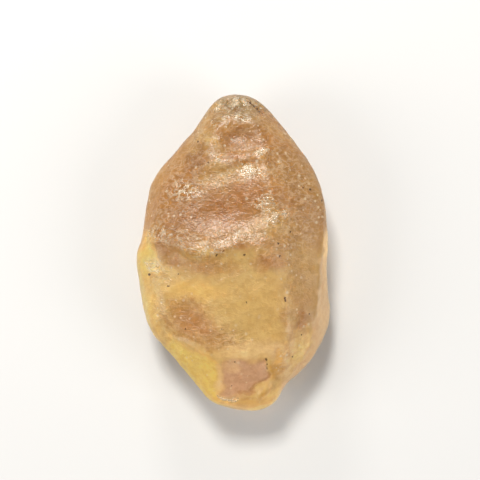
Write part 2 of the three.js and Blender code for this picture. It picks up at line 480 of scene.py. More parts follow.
@dataclass(frozen=True)
class EtchedSkin:
    """The wind-etched relief of the whole skin, as a Geometry Nodes tree.

    Attributes:
        pit_gap: The least distance between two pits, in millimetres.
        pit_radius: A full-sized pit's radius, in millimetres.
        pit_depth: A full-sized pit's depth, in millimetres.
        pit_sizes: How small and how large pits come, beside a full-sized one.
        pit_bowl: The power that a pit's depth falls with towards its rim.
        pit_density: The most pits that are tried, for each square metre.
        pits_on_smooth: The share of the pits, and of their depth, that smooth skin keeps.
        grain_size: The size of the bumps between the pits, in millimetres.
        grain_height: The height of those bumps on the roughest skin, in millimetres.
        crinkle_size: The length of the crinkles that run across the rough half, in millimetres.
        crinkle_height: The height of the crinkles, in millimetres.
        crinkle_stretch: How much finer the crinkles are along each axis.
        crinkle_rough: How strong the finer layers of the crinkles are.
        crinkle_level: The part of a crinkle's height that leaves the skin where it is.
        seed: The seed of the pits' places and sizes.
    """

    pit_gap: float = 0.8
    pit_radius: float = 0.42
    pit_depth: float = 0.10
    pit_sizes: Pair = (0.45, 1.0)
    pit_bowl: float = 1.4
    pit_density: float = 2.5e6
    pits_on_smooth: float = 0.25
    grain_size: float = 0.5
    grain_height: float = 0.14
    crinkle_size: float = 1.1
    crinkle_height: float = 0.12
    crinkle_stretch: Triple = (0.7, 1.8, 1.4)
    crinkle_rough: float = 0.45
    crinkle_level: float = 0.08
    seed: int = 7

    def tree(self) -> bpy.types.GeometryNodeTree:
        """Builds the tree, with its sizes as named inputs.

        Returns:
            The tree. Its mesh needs the point attributes rough and free, from 0 to 1.
        """
        tree = bpy.data.node_groups.new("etched_skin", "GeometryNodeTree")
        self.sockets(tree)
        bench = Bench(tree)
        given = bench.add("NodeGroupInput").outputs
        position = bench.add("GeometryNodeInputPosition").outputs[0]
        rough, free = self.mask(bench, "rough"), self.mask(bench, "free")

        grain = bench.centred(bench.noise(position, given["Grain Size"]))
        grain = bench.math("MULTIPLY", grain, given["Grain Height"])
        crinkle = bench.noise(position, given["Crinkle Size"], self.crinkle_stretch,
                              rough=self.crinkle_rough)
        crinkle = bench.math("ABSOLUTE", bench.centred(crinkle))
        crinkle = bench.math("SUBTRACT", crinkle, self.crinkle_level)
        crinkle = bench.math("MULTIPLY", crinkle, given["Crinkle Height"])
        relief = bench.math("MULTIPLY", bench.math("SUBTRACT", grain, crinkle), rough)
        pits = self.pits(bench, given, position, rough)
        pits = bench.math("MULTIPLY", pits, bench.math("ADD", rough, self.pits_on_smooth))
        relief = bench.math("MULTIPLY", bench.math("SUBTRACT", relief, pits), free)

        normal = bench.add("GeometryNodeInputNormal").outputs[0]
        along = bench.add("ShaderNodeVectorMath", operation="SCALE")
        bench.feed(along.inputs[0], normal)
        bench.feed(along.inputs["Scale"], relief)
        move = bench.add("GeometryNodeSetPosition")
        bench.feed(move.inputs["Geometry"], given["Geometry"])
        bench.feed(move.inputs["Offset"], along.outputs[0])
        realize = bench.add("GeometryNodeRealizeInstances")
        bench.feed(realize.inputs[0], move.outputs[0])
        coat = bench.add("GeometryNodeSetMaterial")
        bench.feed(coat.inputs["Geometry"], realize.outputs[0])
        bench.feed(coat.inputs["Material"], given["Material"])
        bench.feed(bench.add("NodeGroupOutput").inputs["Geometry"], coat.outputs[0])
        return tree

    @property
    def sizes(self) -> dict[str, float]:
        """The tree's sizes, in metres, by the names of its inputs."""
        lengths = {
            "Pit Gap": self.pit_gap,
            "Pit Radius": self.pit_radius,
            "Pit Depth": self.pit_depth,
            "Grain Size": self.grain_size,
            "Grain Height": self.grain_height,
            "Crinkle Size": self.crinkle_size,
            "Crinkle Height": self.crinkle_height,
        }
        return {name: length * MM for name, length in lengths.items()}

    def sockets(self, tree: bpy.types.GeometryNodeTree) -> None:
        """Names the tree's inputs and its output.

        Args:
            tree: The tree.
        """
        panel = tree.interface
        panel.new_socket("Geometry", in_out="INPUT", socket_type="NodeSocketGeometry")
        for name in self.sizes:
            panel.new_socket(name, in_out="INPUT", socket_type="NodeSocketFloat")
        panel.new_socket("Seed", in_out="INPUT", socket_type="NodeSocketInt")
        panel.new_socket("Material", in_out="INPUT", socket_type="NodeSocketMaterial")
        panel.new_socket("Geometry", in_out="OUTPUT", socket_type="NodeSocketGeometry")

    @staticmethod
    def mask(bench: Bench, name: str) -> Socket:
        """Reads a point attribute of the mesh.

        Args:
            bench: The bench of the tree.
            name: The attribute's name.

        Returns:
            Its value at each point.
        """
        node = bench.add("GeometryNodeInputNamedAttribute", data_type="FLOAT")
        node.inputs["Name"].default_value = name
        return node.outputs["Attribute"]

    def pits(self, bench: Bench, given: bpy.types.NodeOutputs, position: Socket,
             rough: Socket) -> Socket:
        """Scatters round pits over the skin.

        Args:
            bench: The bench of the tree.
            given: The tree's inputs.
            position: The place of each point of the mesh.
            rough: How rough the skin is at each point.

        Returns:
            The depth of the pits at each point of the mesh, in metres.
        """
        scatter = bench.add("GeometryNodeDistributePointsOnFaces", distribute_method="POISSON")
        bench.feed(scatter.inputs["Mesh"], given["Geometry"])
        bench.feed(scatter.inputs["Distance Min"], given["Pit Gap"])
        bench.feed(scatter.inputs["Seed"], given["Seed"])
        bench.feed(scatter.inputs["Density Max"], self.pit_density)
        density = bench.math("MULTIPLY", rough, 1.0 - self.pits_on_smooth)
        density = bench.math("ADD", density, self.pits_on_smooth)
        bench.feed(scatter.inputs["Density Factor"], density)

        size = bench.add("FunctionNodeRandomValue", data_type="FLOAT")
        for index, limit in zip(RANDOM_RANGE, self.pit_sizes):
            bench.feed(size.inputs[index], limit)
        bench.feed(size.inputs["Seed"], given["Seed"])
        keep = bench.add("GeometryNodeStoreNamedAttribute", data_type="FLOAT", domain="POINT")
        keep.inputs["Name"].default_value = "pit_size"
        bench.feed(keep.inputs["Geometry"], scatter.outputs["Points"])
        bench.feed(keep.inputs["Value"], size.outputs[RANDOM_NUMBER])
        closest = bench.add("GeometryNodeSampleNearest", domain="POINT")
        bench.feed(closest.inputs["Geometry"], keep.outputs[0])

        def sample(kind: str, value: Socket) -> Socket:
            """Reads a value of the pit nearest to each point.

            Args:
                kind: The value's type.
                value: The value on the pits.

            Returns:
                The value at each point of the mesh.
            """
            node = bench.add("GeometryNodeSampleIndex", data_type=kind, domain="POINT")
            bench.feed(node.inputs["Geometry"], keep.outputs[0])
            bench.feed(node.inputs["Value"], value)
            bench.feed(node.inputs["Index"], closest.outputs["Index"])
            return node.outputs[0]

        middle = sample("FLOAT_VECTOR", bench.add("GeometryNodeInputPosition").outputs[0])
        share = sample("FLOAT", self.mask(bench, "pit_size"))
        gap = bench.vector("DISTANCE", position, middle).outputs["Value"]
        reach = bench.math("MULTIPLY", given["Pit Radius"], share)
        inside = bench.math("SUBTRACT", 1.0, bench.math("DIVIDE", gap, reach), clamp=True)
        bowl = bench.math("MULTIPLY", bench.math("POWER", inside, self.pit_bowl), given["Pit Depth"])
        return bench.math("MULTIPLY", bowl, share)

    def apply(self, piece: bpy.types.Object, material: bpy.types.Material) -> None:
        """Etches a piece, and leaves the result as its plain mesh.

        Args:
            piece: The piece, with the point attributes that the tree reads.
            material: The material that it wears.
        """
        values = {**self.sizes, "Seed": self.seed, "Material": material}
        tree = self.tree()
        modifier = piece.modifiers.new("etched_skin", "NODES")
        modifier.node_group = tree
        for socket in tree.interface.items_tree:
            if socket.in_out == "INPUT" and socket.name in values:
                modifier[socket.identifier] = values[socket.name]
        evaluated = piece.evaluated_get(bpy.context.evaluated_depsgraph_get())
        mesh = bpy.data.meshes.new_from_object(evaluated)
        piece.modifiers.remove(modifier)
        piece.data = mesh


@dataclass(frozen=True)
class DesertGlass:
    """The finish of frosted, see-through natural glass in tan, rose and yellow.

    Attributes:
        clearness: The share of light that passes the skin instead of scattering on it.
        ior: The index of refraction of nearly pure silica glass.
        depth_colour: The colour that light takes on its way through.
        depth_strength: How fast it takes that colour, for each metre.
        pearl: The pale colour of frosted crests and of the tiny pits, also laid on as painted glints and
            painted sheen.
        dusk: What the darker clouds multiply the tint by.
        gleam: What the lighter clouds multiply the tint by.
        amber: What the brown blotches multiply the tint by.
        soot: The colour of the dark specks.
        cloud_size: The size of the soft clouds, in millimetres.
        cloud_detail: How many finer layers the clouds have, and how strong those are.
        clouding: How the clouds' noise turns from dusk to gleam.
        clouded: How strong the clouds are on smooth and on rough skin.
        blotch_size: The size of the brown blotches, in millimetres.
        blotch_detail: How many finer layers the blotches have, and how strong those are.
        blotching: How the blotches' noise brings out the amber.
        stain_push: How far a stain lifts that noise.
        hair_size: How far apart the thin pale crinkle lines run, in millimetres. Their pale is partly
            frosted crests and partly painted highlight.
        hair_stretch: How much finer those lines are along each axis.
        hair_width: How a line fades away from its middle.
        hair_in_cloud: How pale the lines are in dark and in light clouds.
        hair_on_rough: How pale they are on smooth and on rough skin.
        hair_on_frost_and_glint: How much paler they are on the frost and its painted glints.
        hair_rise: How high a line stands beside the grain.
        grain_size: The size of the finest grain, in millimetres.
        dot_gap: How far apart the small pale pits lie, in millimetres.
        dot_radius: The radius of such a pit, in millimetres.
        dot_floor: How large the smallest pit is, as a share of that radius.
        dot_flat: The share of a pit's radius that its flat bottom takes.
        dot_on_rough: How pale the pits are on smooth and on rough skin.
        dot_sink: How deep a pit is beside the grain.
        frost_and_glint_break: How far the grain breaks the frost and its painted glints up.
        frost_and_glint_on_hair: How far a pale line adds to the frost and its painted glints.
        frost_and_glinting: How the broken frost lays the pearl on as painted glints and painted sheen.
        frost_and_glint_edge: How the frost and its painted glints fade in at their border.
        speck_break: How far the grain makes the specks ragged.
        specking: How the ragged specks bring out the soot.
        satin: The roughness of the worn skin.
        sparkle: The roughness of the glinting places.
        sparkling: Where the frost starts to glint, and where it glints in full.
        bump_height: The height of the finest relief, in millimetres.
        bump_on_rough: How strong that relief is on smooth and on rough skin.
    """

    clearness: float = 0.70
    ior: float = 1.46
    depth_colour: Colour = (1.0, 0.80, 0.42)
    depth_strength: float = 20.0
    pearl: Colour = (0.96, 0.87, 0.66)
    dusk: Colour = (0.78, 0.68, 0.56)
    gleam: Colour = (1.10, 1.13, 1.18)
    amber: Colour = (0.84, 0.72, 0.56)
    soot: Colour = (0.08, 0.04, 0.02)
    cloud_size: float = 0.8
    cloud_detail: Pair = (4.0, 0.62)
    clouding: Ramp = Ramp(0.32, 0.68)
    clouded: Ramp = Ramp(0.1, 0.8, 0.45, 1.0)
    blotch_size: float = 0.9
    blotch_detail: Pair = (6.0, 0.75)
    blotching: Ramp = Ramp(0.66, 0.80)
    stain_push: float = 0.34
    hair_size: float = 0.8
    hair_stretch: Triple = (0.8, 1.4, 1.2)
    hair_width: Ramp = Ramp(0.01, 0.09, 1.0, 0.0)
    hair_in_cloud: Ramp = Ramp(0.34, 0.60, 0.3, 1.0)
    hair_on_rough: Ramp = Ramp(0.2, 0.9, 0.06, 0.38)
    hair_on_frost_and_glint: float = 0.5
    hair_rise: float = 0.6
    grain_size: float = 0.30
    dot_gap: float = 1.0
    dot_radius: float = 0.22
    dot_floor: float = 0.45
    dot_flat: float = 0.35
    dot_on_rough: Ramp = Ramp(0.2, 0.45, 0.3, 0.75)
    dot_sink: float = 0.8
    frost_and_glint_break: float = 2.4
    frost_and_glint_on_hair: float = 0.3
    frost_and_glinting: Ramp = Ramp(0.4, 1.15, 0.0, 0.7)
    frost_and_glint_edge: Ramp = Ramp(0.02, 0.3)
    speck_break: float = 1.3
    specking: Ramp = Ramp(0.52, 0.74)
    satin: float = 0.35
    sparkle: float = 0.15
    sparkling: Pair = (0.1, 0.7)
    bump_height: float = 0.078
    bump_on_rough: Ramp = Ramp(0.1, 1.0, 0.25, 1.0)

    def build(self) -> bpy.types.Material:
        """Builds the material.

        Returns:
            The material, which reads the piece's attributes tint, rough, stain, frost_and_glint and
            speck.
        """
        material = bpy.data.materials.new("frosted_desert_glass")
        material.use_nodes = True
        bench = Bench(material.node_tree)
        shader = material.node_tree.nodes["Principled BSDF"]
        output = material.node_tree.nodes["Material Output"]
        shader.inputs["Transmission Weight"].default_value = self.clearness
        shader.inputs["IOR"].default_value = self.ior
        place = bench.add("ShaderNodeTexCoord").outputs["Object"]
        signs = {
            name: bench.add("ShaderNodeAttribute", attribute_name=name).outputs["Fac"]
            for name in ("rough", "stain", "frost_and_glint", "speck")
        }
        hair = bench.noise(place, self.hair_size * MM, self.hair_stretch)
        signs["hair"] = bench.ease(bench.math("ABSOLUTE", bench.centred(hair)), self.hair_width)
        signs["grain"] = bench.noise(place, self.grain_size * MM)
        signs["dot"] = self.dots(bench, place)
        bench.feed(shader.inputs["Base Color"], self.colour(bench, place, signs))
        gloss = bench.ease(signs["frost_and_glint"], Ramp(*self.sparkling, self.satin, self.sparkle))
        bench.feed(shader.inputs["Roughness"], gloss)
        bench.feed(shader.inputs["Normal"], self.normal(bench, signs))
        inside = bench.add("ShaderNodeVolumeAbsorption")
        inside.inputs["Color"].default_value = (*self.depth_colour, 1.0)
        inside.inputs["Density"].default_value = self.depth_strength
        bench.feed(output.inputs["Volume"], inside.outputs[0])
        return material

    def dots(self, bench: Bench, place: Socket) -> Socket:
        """Scatters tiny round pits.

        Args:
            bench: The bench of the material's tree.
            place: The place on the piece.

        Returns:
            How deep in a pit each place lies, from 0 to 1.
        """
        cells = bench.add("ShaderNodeTexVoronoi", voronoi_dimensions="3D", feature="F1")
        bench.feed(cells.inputs["Vector"], place)
        cells.inputs["Scale"].default_value = 1.0 / (self.dot_gap * MM)
        radius = self.dot_radius / self.dot_gap
        size = bench.math("ADD", cells.outputs["Color"], self.dot_floor)
        away = bench.math("DIVIDE", cells.outputs["Distance"], size)
        return bench.ease(away, Ramp(self.dot_flat * radius, radius, 1.0, 0.0))

    def colour(self, bench: Bench, place: Socket, signs: dict[str, Socket]) -> Socket:
        """Lays clouds, blotches, pale crinkles with painted highlights, frost with painted glints and
        sheen, and specks over the piece's own tint.

        Args:
            bench: The bench of the material's tree.
            place: The place on the piece.
            signs: The masks and patterns, by name.

        Returns:
            The colour's socket.
        """
        tint = bench.add("ShaderNodeAttribute", attribute_name="tint").outputs["Color"]
        rough, frost_and_glint, grain = signs["rough"], signs["frost_and_glint"], bench.centred(signs["grain"])
        cloud = bench.noise(place, self.cloud_size * MM, FLAT, *self.cloud_detail)
        shade = bench.mix(bench.ease(cloud, self.clouding), self.dusk, self.gleam)
        tint = bench.mix(bench.ease(rough, self.clouded), tint, shade, "MULTIPLY")

        blotch = bench.noise(place, self.blotch_size * MM, FLAT, *self.blotch_detail)
        blotch = bench.math("ADD", blotch, bench.math("MULTIPLY", signs["stain"], self.stain_push))
        tint = bench.mix(bench.ease(blotch, self.blotching), tint, self.amber, "MULTIPLY")

        # Pale crinkle lines: partly the pale of frosted crests, partly painted highlights along them.
        crinkled = bench.math("MULTIPLY", frost_and_glint, self.hair_on_frost_and_glint)
        crinkled = bench.math("ADD", bench.ease(rough, self.hair_on_rough), crinkled)
        pale = bench.math("MULTIPLY", signs["hair"], bench.ease(cloud, self.hair_in_cloud))
        tint = bench.mix(bench.math("MULTIPLY", pale, crinkled, clamp=True), tint, self.pearl)
        dotted = bench.math("MULTIPLY", signs["dot"], bench.ease(rough, self.dot_on_rough))
        tint = bench.mix(dotted, tint, self.pearl)

        # Frost: the broken frost lays the pearl on as painted glints and painted sheen.
        broken = bench.math("ADD", frost_and_glint, bench.math("MULTIPLY", grain, self.frost_and_glint_break))
        broken = bench.math("ADD", broken, bench.math("MULTIPLY", pale, self.frost_and_glint_on_hair))
        border = bench.ease(frost_and_glint, self.frost_and_glint_edge)
        frosted = bench.math("MULTIPLY", bench.ease(broken, self.frost_and_glinting), border)
        tint = bench.mix(frosted, tint, self.pearl)
        ragged = bench.math("ADD", signs["speck"], bench.math("MULTIPLY", grain, self.speck_break))
        return bench.mix(bench.ease(ragged, self.specking), tint, self.soot)

    def normal(self, bench: Bench, signs: dict[str, Socket]) -> Socket:
        """Raises the crinkle lines and the finest grain, and sinks the tiny pits.

        Args:
            bench: The bench of the material's tree.
            signs: The masks and patterns, by name.

        Returns:
            The normal's socket.
        """
        hairs = bench.math("MULTIPLY", signs["hair"], self.hair_rise)
        dots = bench.math("MULTIPLY", signs["dot"], self.dot_sink)
        height = bench.math("SUBTRACT", bench.math("ADD", signs["grain"], hairs), dots)
        bump = bench.add("ShaderNodeBump")
        bench.feed(bump.inputs["Strength"], bench.ease(signs["rough"], self.bump_on_rough))
        bench.feed(bump.inputs["Distance"], self.bump_height * MM)
        bench.feed(bump.inputs["Height"], height)
        return bump.outputs[0]


# The lines and facets of the face, in millimetres. A step drops on a line's left side.
LEFT_RIDGE = ((-2.6, 19.4), (-3.1, 18.6), (-4.4, 15.5), (-5.8, 12.6), (-7.8, 10.5), (-9.0, 7.4),
              (-10.1, 4.6), (-11.2, 1.8))
RIGHT_RIDGE = ((4.3, 13.4), (4.6, 11.0), (6.7, 8.4), (7.0, 5.6), (6.8, 0.0), (6.8, -7.0), (7.0, -9.0),
               (6.7, -12.2), (6.4, -16.6))
RIGHT_RIM = ((12.0, 4.0), (11.6, 1.2), (10.9, -2.4), (10.9, -4.8), (10.7, -6.4), (10.1, -9.0),
             (9.8, -11.9), (8.3, -14.3), (6.5, -16.6), (5.2, -18.6))
MAIN_LEDGE = ((1.6, 1.7), (-0.2, 0.5), (-1.6, -0.1), (-4.1, -0.6), (-5.9, 0.0), (-8.0, 1.1),
              (-11.6, 1.8))
UPPER_LEDGE = ((4.6, 10.6), (3.8, 11.9), (2.7, 12.0), (0.4, 11.5), (-1.6, 11.0), (-3.6, 11.8))
LEDGE_LIP = ((2.0, 2.3), (0.0, 1.1), (-1.6, 0.5), (-4.1, 0.0), (-5.9, 0.6), (-8.0, 1.7), (-11.3, 2.4))
LEDGE_HOLLOW = ((2.4, 3.4), (0.2, 2.3), (-1.6, 1.6), (-4.1, 1.2), (-6.1, 1.9), (-8.4, 3.0))
BROW_LEDGE = ((-3.6, 14.6), (-2.2, 13.3), (0.2, 12.7), (2.6, 13.0), (4.4, 14.4))
CREVICE = ((1.3, 20.1), (2.4, 19.6), (3.3, 18.8), (3.9, 17.8))
LEFT_CREASE = ((-10.4, 0.6), (-10.2, -2.0), (-10.0, -5.0), (-9.5, -8.4))
LOW_FOLD = ((-8.6, -10.4), (-6.4, -10.8), (-4.2, -11.9), (-2.4, -13.4))
LOWER_RIDGE = ((7.1, -8.6), (7.0, -10.4), (6.9, -12.2), (6.6, -14.4), (6.1, -16.6))
FACET_EDGE = ((0.6, -18.7), (2.2, -18.0), (3.3, -17.1), (4.5, -16.2), (4.7, -15.2))
SLIT = ((4.1, -13.3), (4.2, -14.2), (4.4, -15.2))
BOTTOM_PANE = ((-1.6, -18.8), (0.9, -18.7), (3.2, -17.2), (4.6, -16.3), (4.2, -13.9), (-1.2, -13.7))
OCHRE_PANE = ((4.9, -16.5), (6.0, -16.7), (6.5, -13.4), (6.1, -12.2), (5.2, -12.7), (4.8, -14.6))
LEFT_PANE = ((-1.9, -19.6), (-1.6, -14.8), (-2.6, -13.8), (-5.0, -12.6), (-8.2, -11.0), (-9.4, -12.2),
             (-5.4, -18.0))
LOWER_HALF = ((-13.5, -21.5), (13.5, -21.5), (13.5, 1.0), (1.6, 0.6), (-13.5, 0.6))


@dataclass(frozen=True)
class Patch:
    """A zone of the face with its own colour; a few zones are painted shade and painted highlight
    instead.

    Attributes:
        hue: Its colour.
        shape: Where it lies.
    """

    hue: Hue
    shape: Shape


@dataclass(frozen=True)
class Speck:
    """A small dark grain in the skin.

    Attributes:
        at: Its middle, in millimetres.
        length: Its length, in millimetres.
        turn: The bearing of its length, in degrees.
        reach: How far it reaches each way, as a share of its length.
        width: Half its width with its soft edge, in millimetres.
        edge: The power that its edge falls with.
    """

    at: Point
    length: float = 0.3
    turn: float = 0.0
    reach: float = 0.8
    width: float = 0.23
    edge: float = 0.8

    def share(self, x: np.ndarray, y: np.ndarray) -> np.ndarray:
        """Gives how near the speck's middle each place is.

        Args:
            x: Places across the stone, in millimetres.
            y: Places along the stone, in millimetres.

        Returns:
            1 at its middle, falling to 0 well outside it.
        """
        size = (self.reach * self.length, self.width)
        return Dab("speck", self.at, size, self.turn, edge=self.edge).share(x, y)


@dataclass(frozen=True)
class Skin:
    """The points of the smooth piece, before anything is cut into it.

    Attributes:
        places: Their places, in millimetres.
        normals: The directions that they face.
        face: How a point comes to belong to the face while its normal turns upwards.
        bend: How far the borders of zones are shifted, in millimetres.
        bend_size: The size of the waves that shift them, in millimetres.
    """

    places: np.ndarray
    normals: np.ndarray
    face: Ramp = Ramp(0.15, 0.5)
    bend: float = 0.4
    bend_size: float = 2.6

    @classmethod
    def of(cls, mesh: bpy.types.Mesh) -> "Skin":
        """Reads the points of a mesh.

        Args:
            mesh: The mesh.

        Returns:
            Its points.
        """
        readings = []
        for name in ("co", "normal"):
            values = np.zeros(len(mesh.vertices) * 3, np.float32)
            mesh.vertices.foreach_get(name, values)
            readings.append(values.reshape(-1, 3).astype(float))
        return cls(readings[0] / MM, readings[1])

    @property
    def on_face(self) -> np.ndarray:
        """How far each point belongs to the upward face, from 0 to 1."""
        return self.face.of(self.normals[:, 2])

    @property
    def bent(self) -> tuple[np.ndarray, np.ndarray]:
        """The points' places on the face, shifted so that zones get wavy borders."""
        x, y, _ = self.places.T
        shifts = [self.bend * wander(x, y, self.bend_size, seed) for seed in (1.0, 5.0)]
        return x + shifts[0], y + shifts[1]


@dataclass(frozen=True)
class Crinkling:
    """How crinkled the skin is: the upper half most, the lower half and the sides less.

    Attributes:
        low: How crinkled the lower half of the face is, from 0 to 1.
        high: How much more crinkled the upper half is.
        frosted: How much more crinkled frost is.
        least: The least that the face keeps.
        border: Half the width of the border between the halves, in millimetres.
        border_right: How much wider the border gets to the right of the ledge.
        border_left: How much wider it gets at the left rim.
        border_reach: How the upper half comes in across the border, in half widths.
        border_wave: How far the border wanders, in millimetres.
        border_size: The size of the waves that it wanders in, in millimetres.
        sides: How crinkled the sides are from the lower to the upper half.
        sides_drift: How much that varies round the stone.
        sides_size: The size of the waves that it varies in, in millimetres.
    """

    low: float = 0.2
    high: float = 0.45
    frosted: float = 0.35
    least: float = 0.12
    border: float = 0.5
    border_right: Ramp = Ramp(0.5, 4.0, 0.0, 1.6)
    border_left: Ramp = Ramp(-8.0, -11.0, 0.0, 0.8)
    border_reach: Ramp = Ramp(-1.2, 0.6)
    border_wave: float = 0.5
    border_size: float = 3.1
    sides: Ramp = Ramp(-2.0, 5.0, 0.25, 0.5)
    sides_drift: float = 0.1
    sides_size: float = 7.0

    def share(self, skin: Skin, wear: np.ndarray, frost_and_glint: np.ndarray) -> np.ndarray:
        """Gives how crinkled each point is.

        Args:
            skin: The points.
            wear: How much more worn or crinkled than its half each point is.
            frost_and_glint: How frosted each point is, and how much painted glint and sheen it carries.

        Returns:
            How crinkled each point is, from 0 to 1.
        """
        x, y, z = skin.places.T
        across, along = np.array(MAIN_LEDGE[::-1]).T
        ledge = np.interp(x, across, along)
        spread = self.border + self.border_right.of(x) + self.border_left.of(x)
        above = y - ledge + self.border_wave * wander(x, y, self.border_size, 2.0)
        upper = self.border_reach.of(above / spread)
        face = self.low + self.high * upper + wear + self.frosted * np.clip(frost_and_glint, 0.0, 1.0)
        sides = self.sides.of(y) + self.sides_drift * wander(x + z, y - z, self.sides_size, 4.0)
        return sides + (np.clip(face, self.least, 1.0) - sides) * skin.on_face


